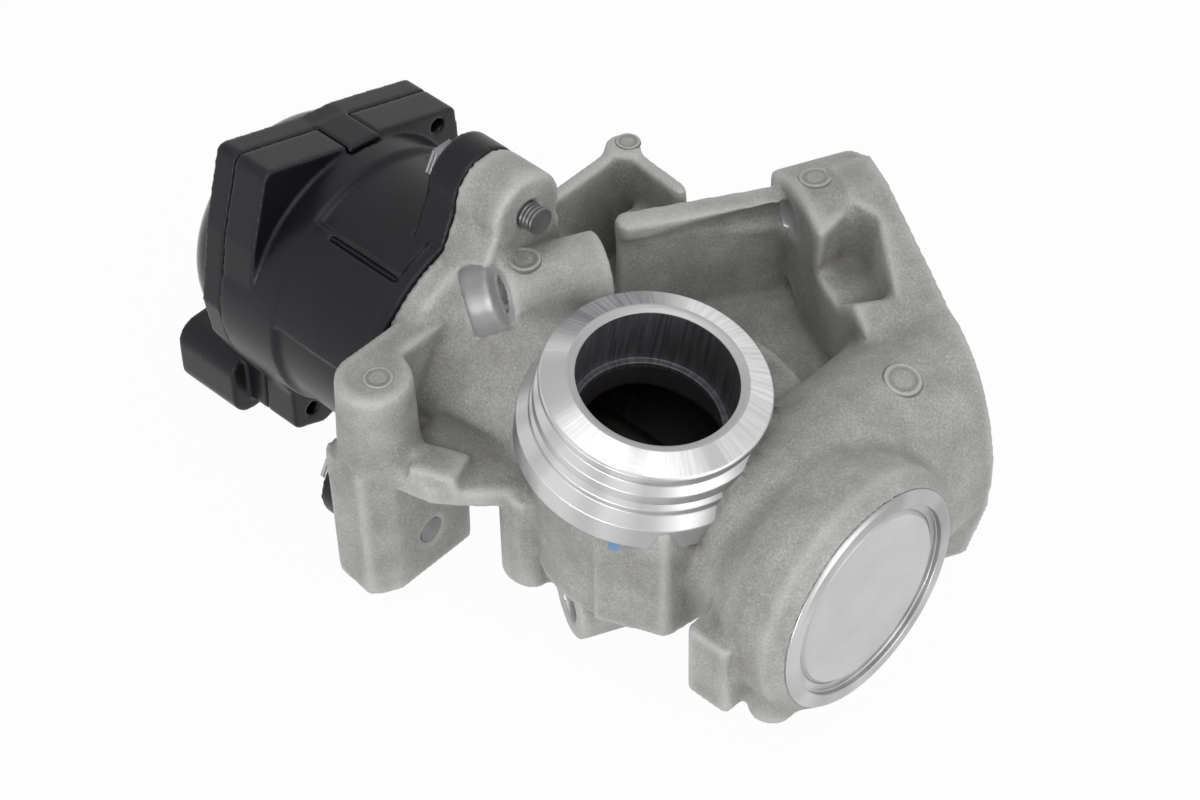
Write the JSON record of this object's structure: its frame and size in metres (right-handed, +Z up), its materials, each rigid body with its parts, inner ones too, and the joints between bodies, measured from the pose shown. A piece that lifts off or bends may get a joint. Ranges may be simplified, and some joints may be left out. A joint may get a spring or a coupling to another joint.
{
  "type": "egr valve",
  "caption": "Electric exhaust gas recirculation valve: die-cast housing with a turned outlet spout, flanged inlet, poppet valve and an electric screw actuator under a black cover.",
  "frame": {"origin": "centre of the gas port on the mounting face of the housing", "axes": "+Y points out of the mounting face, +Z is up along the spout's side, +X runs along the mounting face towards the end plug"},
  "size_m": [0.1522, 0.1195, 0.0758],
  "materials": {
    "cast_aluminium": "matt die-cast, sand textured, turned bright at the spout and plug ring",
    "plug_aluminium": "matt pressed disc",
    "black_plastic": "glass-filled moulding",
    "grey_plastic": "moulding",
    "seal_rubber": "matt",
    "stainless": "turned",
    "spring_steel": "drawn",
    "zinc_steel": "zinc plated",
    "bearing_steel": "ground",
    "core_steel": "laminated",
    "magnet_dark": "sintered",
    "sintered_bronze": "sintered",
    "contact_brass": "tinned",
    "winding_copper": "enamelled wire",
    "board_green": "solder mask",
    "sensor_black": "moulded chip"
  },
  "bodies": {
    "housing": {"valve_housing": "cast_aluminium", "end_plug": "plug_aluminium", "seat_ring": "stainless", "stem_bush": "sintered_bronze", "stem_seal": "seal_rubber", "return_spring": "spring_steel", "actuator_body": "black_plastic", "actuator_gasket": "seal_rubber", "screw_sleeves": "zinc_steel", "actuator_screws": "zinc_steel", "actuator_lid": "black_plastic", "lid_gasket": "seal_rubber", "connector_pins": "contact_brass", "circuit_board": "board_green", "hall_sensor": "sensor_black", "guide_plate": "stainless", "front_bearing_outer": "bearing_steel", "front_bearing_balls": "bearing_steel", "rear_bearing_outer": "bearing_steel", "rear_bearing_balls": "bearing_steel", "bearing_plate": "grey_plastic", "stator_core": "core_steel", "stator_coils": "winding_copper"},
    "rotor": {"rotor_nut": "grey_plastic", "rotor_magnet": "magnet_dark", "sensor_magnet": "magnet_dark", "front_bearing_inner": "bearing_steel", "rear_bearing_inner": "bearing_steel"},
    "spindle": {"lead_screw": "stainless"},
    "valve": {"valve_stem": "stainless", "poppet_head": "stainless", "spring_retainer": "stainless", "stem_keeper": "spring_steel"}
  },
  "joints": [
    {"name": "rotor_spin", "type": "hinge", "parent": "housing", "child": "rotor", "pos_m": [-0.07006, -0.0846, 0], "axis": [0.8988, 0.4384, 0], "range_deg": [0, 316]},
    {"name": "spindle_slide", "type": "slide", "parent": "housing", "child": "spindle", "axis": [0.8988, 0.4384, 0], "range_m": [0, 0.0071]},
    {"name": "valve_slide", "type": "slide", "parent": "housing", "child": "valve", "axis": [0.8988, 0.4384, 0], "range_m": [0, 0.007], "stiffness_N_per_m": 900, "springref_m": -0.007, "deforming": ["return_spring"]}
  ],
  "couplings": [
    {"joint": "spindle_slide", "follows": "valve_slide", "ratio": 1},
    {"joint": "rotor_spin", "follows": "valve_slide", "rad_per_m": 785.4}
  ]
}
